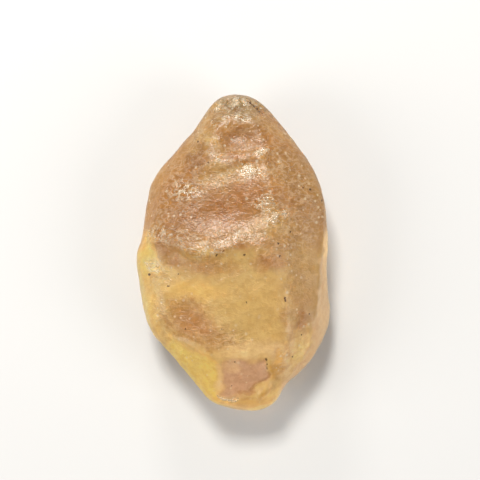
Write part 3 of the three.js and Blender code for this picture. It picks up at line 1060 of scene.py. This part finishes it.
@dataclass
class Pebble:
    """The stone, as a finely etched skin that stands for its plain solid.

    Attributes:
        node: The solid's node.
        body: The body that it rides on.
        slot: The record's material slot. It is not used.
        splits: How often each face is split.
        swell: How far soft waves lift the skin, so that no facet is quite flat, in millimetres.
        swell_size: The size of those waves, in millimetres.
        swell_lean: How far the waves lean with height, so that they run on over the sides.
        weld: How near the solid's points are joined, in millimetres.
        worn: How many rounds of smoothing wear the solid's creases down.
        worn_by: How far a round moves a point towards its neighbours.
        worn_from: How high over the table the wear starts, in millimetres.
        depth: The power that thins the body colour out, because light passes the tinted skin twice.
        contrast: The power that the zones' own colours keep against the body colour.
        gain: How much stronger each colour is laid on then, because the glass swallows light.
        facing: How the face's colours fade in while the surface turns upwards from the underside.
        drift: How much honey the sand-coloured body carries in soft clouds.
        drift_size: The size of those clouds, in millimetres.
        rim_glow_top: How the painted glow of the paler rim fades in under the face, by the upward part of
            the normal.
        rim_glow_foot: How that painted glow fades out towards the underside.
        rim_glow_reach: How it fades in towards the lower half, along the stone, in millimetres.
        free: How the relief fades in over the table, in millimetres.
        crinkling: How crinkled the skin is.
        relief: The wind-etched relief.
        glass: The finish.
        carvings: The sharp ridges, grooves, steps, hollows and lumps of the face.
        wear: What makes places of the face more crinkled or more worn than their half.
        lower_half: The part of the face whose body colour is honey. The rest is sand.
        zones: The colours of the face, with a few patches of painted shade and highlight, laid over the
            body colour in order.
        stains: The places with brown blotches.
        frost_and_glints: The broken, frosted places of the face, where glints and sheen are also painted
            on.
        specks: The dark specks and cracks of the face.
    """

    node: str = "glass_pebble"
    body: str = "root"
    slot: str = "desert_glass"
    splits: int = 2
    swell: float = 0.05
    swell_size: float = 3.4
    swell_lean: float = 0.7
    weld: float = 0.001
    worn: int = 2
    worn_by: float = 0.5
    worn_from: float = 0.3
    depth: float = 0.6
    contrast: float = 0.9
    gain: Triple = (1.07, 1.02, 0.69)
    facing: Ramp = Ramp(-0.95, 0.1)
    drift: float = 0.6
    drift_size: float = 11.0
    rim_glow_top: Ramp = Ramp(0.60, 0.46)
    rim_glow_foot: Ramp = Ramp(-0.9, -0.3)
    rim_glow_reach: Ramp = Ramp(4.0, -4.0)
    free: Ramp = Ramp(0.05, 0.4)
    crinkling: Crinkling = Crinkling()
    relief: EtchedSkin = EtchedSkin()
    glass: DesertGlass = DesertGlass()
    carvings: tuple[Shape, ...] = (
        Stroke("fold in the low middle", Cut.RIDGE, LOW_FOLD, -0.12, 0.35),
        Stroke("main ledge", Cut.STEP, MAIN_LEDGE, 0.26, 0.8),
        Stroke("upper ledge", Cut.STEP, UPPER_LEDGE, 0.28, 0.6),
        Stroke("left crease", Cut.RIDGE, LEFT_CREASE, -0.12, 0.8),
        Stroke("right ridge", Cut.RIDGE, RIGHT_RIDGE, 0.08, 0.5),
        Stroke("lower ridge", Cut.RIDGE, LOWER_RIDGE, 0.10, 0.5),
        Stroke("left ridge", Cut.RIDGE, LEFT_RIDGE, 0.14, 0.4),
        Stroke("right rim", Cut.RIDGE, RIGHT_RIM, 0.16, 0.35),
        Stroke("slit", Cut.RIDGE, SLIT, -0.32, 0.2),
        Stroke("facet edge", Cut.RIDGE, FACET_EDGE, -0.2, 0.3),
        Stroke("hollow above the ledge", Cut.RIDGE, LEDGE_HOLLOW, -0.16, 0.8),
        Stroke("lip of the ledge", Cut.RIDGE, LEDGE_LIP, 0.12, 0.7),
        Dab("rise under the upper ledge", (0.3, 7.2), (6.0, 3.6), 6.0, 0.35, 2.0),
        Dab("basin above the ledge", (0.3, 4.4), (7.6, 5.0), 6.0, -0.70, 2.0),
        Stroke("tip crevice", Cut.RIDGE, CREVICE, -0.42, 0.28),
        Dab("leaf-shaped lump", (3.8, -18.1), (1.5, 0.6), 48.0, 0.34, 0.8),
        Dab("round dimple", (5.1, 11.8), (1.5, 1.5), 0.0, -0.25),
        Dab("oval dimple", (8.7, -8.9), (1.6, 0.7), 70.0, -0.15),
        Pane("bottom facet", BOTTOM_PANE, -0.14, 0.5),
        Pane("lower left facet", LEFT_PANE, -0.12, 0.5),
        Dab("left tip chip", (-2.3, 19.1), (1.1, 0.8), 40.0, -0.62, 1.0),
        Dab("middle tip chip", (-0.5, 19.5), (0.95, 0.75), 0.0, -0.60, 1.0),
        Dab("right tip chip", (1.1, 19.3), (0.85, 0.8), 0.0, -0.55, 1.0),
        Dab("lower tip chip", (-1.2, 18.3), (1.7, 0.65), 8.0, -0.22, 1.0),
        Dab("tip shoulder chip", (1.5, 18.0), (1.3, 0.75), -10.0, -0.22, 1.0),
        Stroke("brow scoop", Cut.STEP, BROW_LEDGE, 0.22, 0.9),
        Dab("brow basin", (0.6, 14.2), (5.0, 3.7), 0.0, -0.90, 2.0),
        Dab("dip below the yellow band", (-3.2, -6.6), (6.5, 3.6), 0.0, -0.30),
        Dab("left brow hollow", (-2.8, 14.9), (1.2, 0.7), 15.0, -0.16, 2.0),
        Dab("right brow hollow", (3.1, 13.7), (1.8, 1.0), 10.0, -0.24, 2.0),
        Dab("hollow under the brow", (-2.0, 13.1), (2.3, 1.0), -10.0, -0.18, 2.0),
        Dab("hollow under the upper ledge", (2.0, 11.4), (2.6, 1.3), 10.0, -0.24, 2.0),
        Dab("left shoulder hollow", (-5.2, 9.2), (3.1, 2.1), 20.0, -0.32, 2.0),
        Dab("right hollow", (3.3, 7.4), (2.4, 1.8), -35.0, -0.24, 2.0),
        Dab("right glint hollow", (4.0, 5.3), (2.4, 2.2), 0.0, -0.38, 2.0),
    )
    wear: tuple[Shape, ...] = (
        Band("left bevel", LEFT_RIDGE, -9.0, -0.5, -0.22),
        Band("right bevel", RIGHT_RIDGE, 0.7, 9.0, -0.18, 0.9),
        Band("ledge", MAIN_LEDGE, -2.2, 0.1, 0.4),
        Band("left crease", LEFT_CREASE, -0.8, 0.8, 0.25, 0.6),
        Dab("tip", (0.3, 19.0), (3.4, 1.8), 0.0, 0.35),
        Dab("under the left notch", (-9.4, -2.6), (2.6, 1.6), -10.0, 0.4),
        Dab("lower left rim", (-8.6, -10.6), (2.6, 1.5), -50.0, 0.2),
        Pane("lower left facet", LEFT_PANE, 0.15),
        Dab("lower right", (7.6, -13.4), (4.0, 3.0), 50.0, 0.22),
        Dab("belly", (0.6, -11.4), (4.0, 2.0), 0.0, 0.15),
        Dab("calm middle", (0.2, 5.6), (4.6, 3.6), 12.0, -0.28, 0.6),
        Dab("calm brow", (0.6, 15.4), (3.6, 1.8), 0.0, -0.25, 0.6),
        Dab("under the ledge", (-3.0, -1.6), (6.5, 1.8), 0.0, 0.25),
        Dab("right of the ledge", (4.8, -0.6), (3.6, 2.2), 0.0, 0.25),
        Dab("cheek", (-6.0, -8.0), (4.6, 3.6), -20.0, 0.14),
        Band("right slope", RIGHT_RIDGE, -0.6, 3.4, 0.35, 0.8),
        Dab("yellow band", (-3.6, -4.0), (5.4, 1.8), 0.0, -0.08),
        Dab("low middle", (-1.6, -10.6), (4.2, 2.4), -10.0, 0.28),
        Pane("bottom facet", BOTTOM_PANE, 0.15),
    )
    lower_half: Pane = Pane("lower half", LOWER_HALF, 1.0, 1.0)
    zones: tuple[Patch, ...] = (
        Patch(Hue.UMBER, Dab("left shoulder", (-7.8, 5.8), (5.6, 6.6), 0.0, 0.9)),
        Patch(Hue.DRIFT, Dab("tip", (0.6, 18.6), (5.0, 3.2))),
        Patch(Hue.MOSS, Dab("end of the tip", (0.6, 19.6), (4.0, 1.9), -10.0, 0.75)),
        Patch(Hue.DRIFT, Band("right shoulder", RIGHT_RIDGE, 0.4, 9.0, 0.5, 1.1)),
        # Painted shade over the brow's own amber: these three patches darken the brow where the key
        # lamp's sheen falls.
        Patch(Hue.UMBER, Dab("brow", (0.6, 15.4), (4.0, 2.2), 0.0, 1.0, 0.7)),
        Patch(Hue.MOSS, Dab("shade in the brow", (1.6, 15.6), (3.2, 1.8), 0.0, 0.25)),
        Patch(Hue.BARK, Dab("deep of the brow", (0.3, 15.3), (3.2, 1.6), 0.0, 0.35)),
        # Painted shade over a brown of its own: darkens the left of the brow against the sheen.
        Patch(Hue.BARK, Dab("left of the brow", (-4.9, 12.1), (2.8, 1.3), 55.0, 0.8, 0.8)),
        Patch(Hue.OCHRE, Dab("left brow dimple", (-2.7, 14.7), (1.1, 0.5), 15.0, 0.8)),
        Patch(Hue.ROSE, Dab("under the brow", (0.4, 12.2), (3.0, 1.3), 0.0, 0.8)),
        Patch(Hue.ROSE, Dab("upper middle", (2.2, 8.2), (3.6, 2.8), 0.0, 0.8)),
        Patch(Hue.UMBER, Dab("brown middle", (-0.6, 5.8), (6.0, 3.4), 10.0, 0.9, 0.8)),
        # Painted shade: darkens the left of the middle against the sheen.
        Patch(Hue.BARK, Dab("left of the middle", (-5.4, 4.4), (3.2, 2.4), 0.0, 0.35)),
        Patch(Hue.UMBER, Dab("left scoop", (-8.2, -0.7), (3.0, 1.5), -8.0, 0.6)),
        Patch(Hue.SAND, Dab("under the ledge", (-3.4, -1.8), (5.4, 1.6), -4.0, 0.7, 1.6)),
        Patch(Hue.ROSE, Dab("right of the ledge", (4.6, -1.0), (3.0, 1.7), 0.0, 0.7)),
        Patch(Hue.LEMON, Dab("left notch", (-11.3, -0.6), (1.5, 4.0), -6.0, 1.0, 0.8)),
        Patch(Hue.GLOW, Dab("gleam in the left notch", (-10.6, -1.5), (2.0, 1.1), -50.0, 1.0, 0.8)),
        Patch(Hue.LEMON, Dab("left rim", (-10.6, -7.2), (4.6, 1.2), -78.0, 0.6)),
        Patch(Hue.LEMON, Dab("yellow band", (-5.0, -4.8), (5.2, 1.7), -4.0, 0.6, 1.6)),
        Patch(Hue.UMBER, Dab("cheek", (-6.0, -8.2), (4.4, 3.4), -24.0, 0.55)),
        Patch(Hue.BARK, Dab("middle of the cheek", (-6.5, -7.8), (2.2, 1.6), -20.0, 0.15)),
        Patch(Hue.ROSE, Dab("low middle", (-3.4, -10.4), (4.8, 2.5), -22.0, 0.5)),
        Patch(Hue.SAND, Band("right slope", RIGHT_RIDGE, 0.8, 4.0, 0.28, 1.9)),
        Patch(Hue.HONEY, Dab("top of the right slope", (8.7, -0.4), (2.6, 1.6), 80.0, 0.4)),
        Patch(Hue.UMBER, Dab("strip beside the lower ridge", (6.4, -8.4), (2.2, 0.7), 88.0, 0.5)),
        Patch(Hue.UMBER, Dab("oval dimple", (8.7, -8.9), (1.7, 0.9), 70.0, 0.7)),
        Patch(Hue.LEMON, Pane("lower left facet", LEFT_PANE, 0.95, 0.6)),
        Patch(Hue.GLOW, Dab("lower right", (8.6, -12.8), (4.6, 3.0), 55.0, 1.0)),
        Patch(Hue.PEARL, Dab("above the bottom facet", (2.2, -12.5), (5.0, 1.5), 6.0, 0.85)),
        Patch(Hue.GLOW, Dab("middle above the facet", (1.2, -12.7), (4.6, 1.3), 4.0, 0.5)),
        Patch(Hue.LEMON, Dab("bottom rim", (3.2, -19.9), (4.2, 1.0), -3.0, 0.45)),
        Patch(Hue.DRIFT, Dab("dull part of the bottom rim", (1.2, -19.9), (2.0, 0.9), 0.0, 0.25)),
        Patch(Hue.PEARL, Dab("between the facets", (-1.9, -16.4), (2.6, 0.7), 86.0, 0.8)),
        Patch(Hue.GLOW, Dab("right of the leaf", (5.2, -18.2), (1.8, 0.8), 55.0, 0.9)),
        Patch(Hue.LILAC, Pane("bottom facet", BOTTOM_PANE, 1.0, 0.5)),
        Patch(Hue.PEARL, Dab("pale corner of the facet", (-0.2, -14.6), (1.5, 1.1), 0.0, 0.6)),
        Patch(Hue.OCHRE, Pane("ochre strip", OCHRE_PANE, 1.0, 0.3)),
        Patch(Hue.LEMON, Dab("upper end of the strip", (5.6, -13.4), (1.3, 0.7), 75.0, 0.45)),
        Patch(Hue.PEARL, Band("right rim", RIGHT_RIM, 0.1, 3.0, 0.95, 0.25)),
        Patch(Hue.PEARL, Band("lower ridge", LOWER_RIDGE, -0.3, 0.7, 0.6, 0.4)),
        Patch(Hue.UMBER, Dab("brown edge", (1.6, -19.0), (1.2, 0.6), 10.0, 0.6)),
        Patch(Hue.OCHRE, Dab("leaf-shaped lump", (3.8, -18.1), (1.6, 0.7), 48.0, 0.6)),
        Patch(Hue.OCHRE, Dab("middle of the leaf", (3.9, -18.3), (0.9, 0.25), 48.0, 0.9)),
    )
    stains: tuple[Shape, ...] = (
        Dab("cheek", (-6.2, -8.2), (4.0, 3.4), -20.0, 1.0, 0.8),
        Dab("left scoop", (-8.3, -0.6), (3.2, 1.6), -8.0, 0.8),
        Dab("right of the ledge", (4.6, -0.8), (3.6, 2.0), 0.0, 0.6),
        Dab("brow", (0.8, 15.7), (3.4, 1.5), 0.0, 0.7),
        Dab("tip", (0.2, 18.9), (3.2, 1.4), 0.0, 0.8),
        Dab("upper middle", (-1.0, 5.8), (5.0, 2.6), 10.0, 0.55),
        Dab("low middle", (-2.6, -10.8), (3.4, 2.0), -20.0, 0.6),
        Dab("oval dimple", (8.7, -8.9), (1.8, 1.0), 70.0, 0.6),
        Dab("left shoulder", (-6.8, 4.6), (3.2, 2.4), 20.0, 0.5),
        Dab("under the brow", (-0.6, 12.9), (3.4, 1.2), 0.0, 0.6),
        Band("crevice", CREVICE, -0.35, 0.35, 1.2, 0.2),
        Band("facet edge", FACET_EDGE, -0.1, 0.45, 1.0, 0.2),
        Band("fold in the low middle", LOW_FOLD, -0.1, 0.7, 0.7, 0.4),
    )
    # Frosted places that also carry painted glints and sheen: the tip, bands, sheen patches and glint
    # lines.
    frost_and_glints: tuple[Shape, ...] = (
        Band("ledge", MAIN_LEDGE, -1.9, -0.2, 0.42, 0.9),
        Dab("tip left", (-2.3, 19.3), (0.9, 0.6), 50.0, 1.0, 0.6),
        Dab("tip middle", (0.0, 19.8), (1.0, 0.7), 0.0, 1.0, 0.6),
        Dab("tip right", (1.7, 19.6), (0.7, 0.5), -20.0, 1.0, 0.6),
        Dab("tip band", (0.2, 17.5), (3.0, 0.7), 2.0, 0.6),
        Dab("left of the brow", (-2.5, 16.6), (0.5, 0.9), 0.0, 0.5),
        Dab("brow right", (3.6, 13.0), (1.5, 0.8), 25.0, 1.2),
        Dab("brow left", (-1.8, 12.1), (2.2, 0.6), -20.0, 0.5),
        Dab("under the upper ledge", (1.9, 10.5), (2.2, 1.3), -12.0, 1.0),
        Dab("left shoulder", (-6.2, 8.0), (2.6, 1.8), -8.0, 0.65),
        Dab("right patch", (4.2, 6.3), (2.4, 1.6), -25.0, 0.8),
        Dab("right glint", (5.2, 4.4), (1.1, 0.8), 0.0, 0.9, 0.8),
        Dab("glint line", (6.7, 4.9), (1.2, 0.3), 90.0, 1.0),
        Dab("left notch", (-10.6, -1.6), (1.6, 1.0), -40.0, 0.55),
        Dab("bottom edge", (-0.7, -18.9), (1.5, 0.3), 2.0, 1.1),
    )
    specks: tuple[Speck | Band, ...] = (
        Band("tip crevice", CREVICE, -0.2, 0.2, 0.62, 0.16),
        Band("slit", SLIT, -0.16, 0.16, 0.66, 0.14),
        Speck((2.2, 19.8), 0.3, -20.0), Speck((4.4, -15.0), 0.35, 110.0),
        Speck((4.9, 1.3), 0.45), Speck((5.6, 1.3), 0.45), Speck((6.5, -5.8), 0.7, 105.0),
        Speck((-11.0, -2.8), 0.4, 80.0), Speck((-8.4, -4.2), 0.4, 15.0), Speck((-1.5, -9.7), 0.4, 10.0),
        Speck((-2.2, -0.2)), Speck((-1.3, 0.3), 0.3, 90.0), Speck((1.3, -0.2), 0.35, 20.0),
        Speck((-7.1, -2.7), 0.25), Speck((-6.2, -9.7), 0.25), Speck((5.9, -0.3), 0.3, 60.0),
        Speck((-1.1, 1.9), 0.3, 90.0), Speck((-3.3, 11.6), 0.45, -20.0), Speck((-4.6, 14.4), 0.3, 80.0),
        Speck((7.2, 2.7), 0.3, 90.0), Speck((4.2, -13.6), 0.35, 95.0),
        Speck((7.6, -13.4), 0.35, 100.0), Speck((0.1, -14.0), 0.25), Speck((1.6, -6.3), 0.2),
        Speck((8.9, 8.4), 0.25), Speck((9.8, 8.2), 0.3, 90.0), Speck((8.7, 5.9), 0.25),
        Speck((9.7, -7.9), 0.3, 40.0), Speck((8.7, -10.6), 0.25), Speck((-0.3, -17.2), 0.2),
        Speck((11.4, 6.8), 0.3, 70.0),
    )

    def cast(self) -> bpy.types.Object:
        """Makes the piece as a smooth, fine copy of the solid.

        Returns:
            The piece, with its place in its mesh.
        """
        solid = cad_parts[self.node]
        mesh = bpy.data.meshes.new("desert_glass_pebble")
        shell = bmesh.new()
        shell.from_mesh(solid.data)
        bmesh.ops.remove_doubles(shell, verts=shell.verts, dist=self.weld * MM)
        above = [vert for vert in shell.verts if vert.co.z > self.worn_from * MM]
        for _ in range(self.worn):
            bmesh.ops.smooth_vert(shell, verts=above, factor=self.worn_by, use_axis_x=True,
                                  use_axis_y=True, use_axis_z=True)
        shell.to_mesh(mesh)
        shell.free()
        mesh.materials.clear()
        piece = bpy.data.objects.new("desert_glass_pebble", mesh)
        bpy.context.scene.collection.objects.link(piece)
        smooth = piece.modifiers.new("smooth", "SUBSURF")
        smooth.levels = smooth.render_levels = self.splits
        evaluated = piece.evaluated_get(bpy.context.evaluated_depsgraph_get())
        fine = bpy.data.meshes.new_from_object(evaluated)
        piece.modifiers.remove(smooth)
        piece.data = fine
        return piece

    def carve(self, mesh: bpy.types.Mesh, skin: Skin) -> None:
        """Cuts the sharp features of the face.

        Args:
            mesh: The piece's mesh.
            skin: Its points as they were.
        """
        x, y, z = skin.places.T
        lift = sum(shape.share(x, y) for shape in self.carvings) * skin.on_face
        lean = self.swell_lean * z
        lift += self.swell * wander(x + lean, y - lean, self.swell_size, 6.0)
        places = skin.places + skin.normals * lift[:, None]
        places[:, 2] = np.maximum(places[:, 2], 0.0)
        mesh.vertices.foreach_set("co", (places * MM).astype(np.float32).ravel())
        mesh.update()

    def paint(self, mesh: bpy.types.Mesh, skin: Skin) -> None:
        """Writes the tint of each point: its zones, and a painted glow that pales the glass towards the
        thin rim.

        Args:
            mesh: The piece's mesh.
            skin: Its points as they were.
        """
        x, y, z = skin.places.T
        upward = skin.normals[:, 2]
        facing = self.facing.of(upward)
        body = Hue.HONEY.light
        drift = 0.5 + 0.5 * wander(x + z, y - z, self.drift_size, 3.0)
        bent = skin.bent
        lower = facing * self.lower_half.share(*bent)
        honeyed = np.maximum(self.drift * drift, lower)[:, None]
        tint = Hue.SAND.light + (body - Hue.SAND.light) * honeyed
        # Painted glow: the glass is tinted paler towards the thin rim, standing in for the light that
        # passes the thin edge.
        rim = self.rim_glow_top.of(upward) * self.rim_glow_foot.of(upward)
        rim = (rim * self.rim_glow_reach.of(y))[:, None]
        tint = tint * (1.0 - rim) + Hue.GLOW.light * rim
        for patch in self.zones:
            share = (facing * patch.shape.share(*bent))[:, None]
            tint = tint * (1.0 - share) + patch.hue.light * share
        tint = body**self.depth * (tint / body) ** self.contrast * np.array(self.gain)
        tint = np.column_stack([np.clip(tint, 0.0, 1.0), np.ones(len(x))])
        colours = mesh.attributes.new("tint", "FLOAT_COLOR", "POINT")
        colours.data.foreach_set("color", tint.astype(np.float32).ravel())

    def mask(self, mesh: bpy.types.Mesh, skin: Skin) -> None:
        """Writes how crinkled, stained, frosted with painted glints, and specked each point is.

        Args:
            mesh: The piece's mesh.
            skin: Its points as they were.
        """
        x, y, z = skin.places.T
        bent = skin.bent
        wear = sum(shape.share(*bent) for shape in self.wear)
        stain = np.max([shape.share(*bent) for shape in self.stains], axis=0)
        frost_and_glint = np.max([shape.share(*bent) for shape in self.frost_and_glints], axis=0)
        speck = np.max([shape.share(x, y) for shape in self.specks], axis=0)
        masks = {
            "rough": self.crinkling.share(skin, wear, frost_and_glint),
            "free": self.free.of(z),
            "stain": stain * skin.on_face,
            "frost_and_glint": frost_and_glint * skin.on_face,
            "speck": speck * skin.on_face,
        }
        for name, values in masks.items():
            attribute = mesh.attributes.new(name, "FLOAT", "POINT")
            attribute.data.foreach_set("value", values.astype(np.float32))

    def dress(self, piece: bpy.types.Object, skin: Skin) -> None:
        """Colours the stone, etches its skin and gives it its finish.

        Args:
            piece: The stone.
            skin: Its points as they were.
        """
        self.paint(piece.data, skin)
        self.mask(piece.data, skin)
        self.relief.apply(piece, self.glass.build())
        piece.data.shade_smooth()

    def build(self) -> bpy.types.Object:
        """Makes the stone and ties it to the frame.

        Returns:
            The finished piece.
        """
        piece = self.cast()
        skin = Skin.of(piece.data)
        self.carve(piece.data, skin)
        self.dress(piece, skin)
        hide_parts(self.node)
        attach(piece, self.body)
        return piece


@dataclass(frozen=True)
class Table:
    """The plain pale surface that the stone lies on.

    Attributes:
        width: Its width, in millimetres.
        gap: How far it lies under the stone, so that light gets between them, in millimetres.
        colour: Its colour.
        dullness: Its roughness.
    """

    width: float = 3000.0
    gap: float = 0.05
    colour: Colour = (0.52, 0.515, 0.505)
    dullness: float = 0.7

    def build(self) -> bpy.types.Object:
        """Makes the table.

        Returns:
            The table, which isn't part of the object.
        """
        half, level = self.width / 2 * MM, -self.gap * MM
        corners = [(-half, -half, level), (half, -half, level), (half, half, level), (-half, half, level)]
        mesh = bpy.data.meshes.new("table")
        mesh.from_pydata(corners, [], [(0, 1, 2, 3)])
        table = bpy.data.objects.new("table", mesh)
        bpy.context.scene.collection.objects.link(table)
        self.dress(table)
        return table

    def dress(self, table: bpy.types.Object) -> None:
        """Gives the table its dull, pale finish.

        Args:
            table: The table.
        """
        material = bpy.data.materials.new("table")
        material.use_nodes = True
        shader = material.node_tree.nodes["Principled BSDF"]
        shader.inputs["Base Color"].default_value = (*self.colour, 1.0)
        shader.inputs["Roughness"].default_value = self.dullness
        table.data.materials.append(material)


@dataclass(frozen=True)
class Lamp:
    """A soft studio light that points at the stone.

    Attributes:
        name: What the light does.
        at: Its place, in millimetres.
        size: Its width, in millimetres.
        power: Its power, in watts.
        colour: Its colour.
    """

    name: str
    at: Triple
    size: float
    power: float
    colour: Colour = (1.0, 1.0, 1.0)

    def build(self) -> bpy.types.Object:
        """Makes the light.

        Returns:
            The light.
        """
        data = bpy.data.lights.new(self.name, "AREA")
        data.size = self.size * MM
        data.energy = self.power
        data.color = self.colour
        lamp = bpy.data.objects.new(self.name, data)
        lamp.location = Vector(self.at) * MM
        lamp.rotation_euler = (-Vector(self.at)).to_track_quat("-Z", "Y").to_euler()
        bpy.context.scene.collection.objects.link(lamp)
        return lamp


@dataclass(frozen=True)
class Studio:
    """The lights, the air's even glow and the camera.

    Attributes:
        lamps: The soft lights.
        glow: The strength of the even light from all round.
        air: The colour of that light.
        lens: The camera's focal length, in millimetres.
        sensor: The camera's sensor width, in millimetres.
        view_width: What the picture spans at the stone's rim, in millimetres.
        rim_height: How high the stone's rim lies, in millimetres.
        aim: The place under the picture's middle, in millimetres.
        closest: How near the camera starts to see, in millimetres.
    """

    lamps: tuple[Lamp, ...] = (
        Lamp("key", (-70.0, 245.0, 400.0), 100.0, 2.4, (1.0, 0.98, 0.94)),
        Lamp("rake", (-60.0, 420.0, 120.0), 90.0, 1.1, (1.0, 0.98, 0.96)),
        Lamp("left fill", (-380.0, -90.0, 240.0), 260.0, 1.2, (1.0, 0.98, 0.96)),
        Lamp("right fill", (360.0, -160.0, 260.0), 260.0, 1.1, (1.0, 0.98, 0.96)),
    )
    glow: float = 0.32
    air: Colour = (0.95, 0.97, 1.0)
    lens: float = 100.0
    sensor: float = 36.0
    view_width: float = 63.4
    rim_height: float = 6.6
    aim: Point = (0.78, 1.68)
    closest: float = 1.0

    def build(self) -> None:
        """Makes the lights, the glow and the camera."""
        for lamp in self.lamps:
            lamp.build()
        world = bpy.data.worlds.new("studio")
        world.use_nodes = True
        light = world.node_tree.nodes["Background"].inputs
        light["Color"].default_value = (*self.air, 1.0)
        light["Strength"].default_value = self.glow
        bpy.context.scene.world = world
        data = bpy.data.cameras.new("camera")
        data.lens = self.lens
        data.sensor_width = self.sensor
        data.clip_start = self.closest * MM
        camera = bpy.data.objects.new("camera", data)
        height = self.rim_height + self.view_width * self.lens / self.sensor
        camera.location = Vector((*self.aim, height)) * MM
        bpy.context.scene.collection.objects.link(camera)
        bpy.context.scene.camera = camera
        bpy.context.scene.view_settings.view_transform = "Standard"


def main() -> None:
    """Builds the stone and its studio, and logs how many faces the stone has."""
    logging.basicConfig(level=logging.INFO, format="%(message)s")
    stone = Pebble().build()
    log.info("%s: %d faces", stone.name, len(stone.data.polygons))
    Table().build()
    Studio().build()


if __name__ == "__main__":
    main()
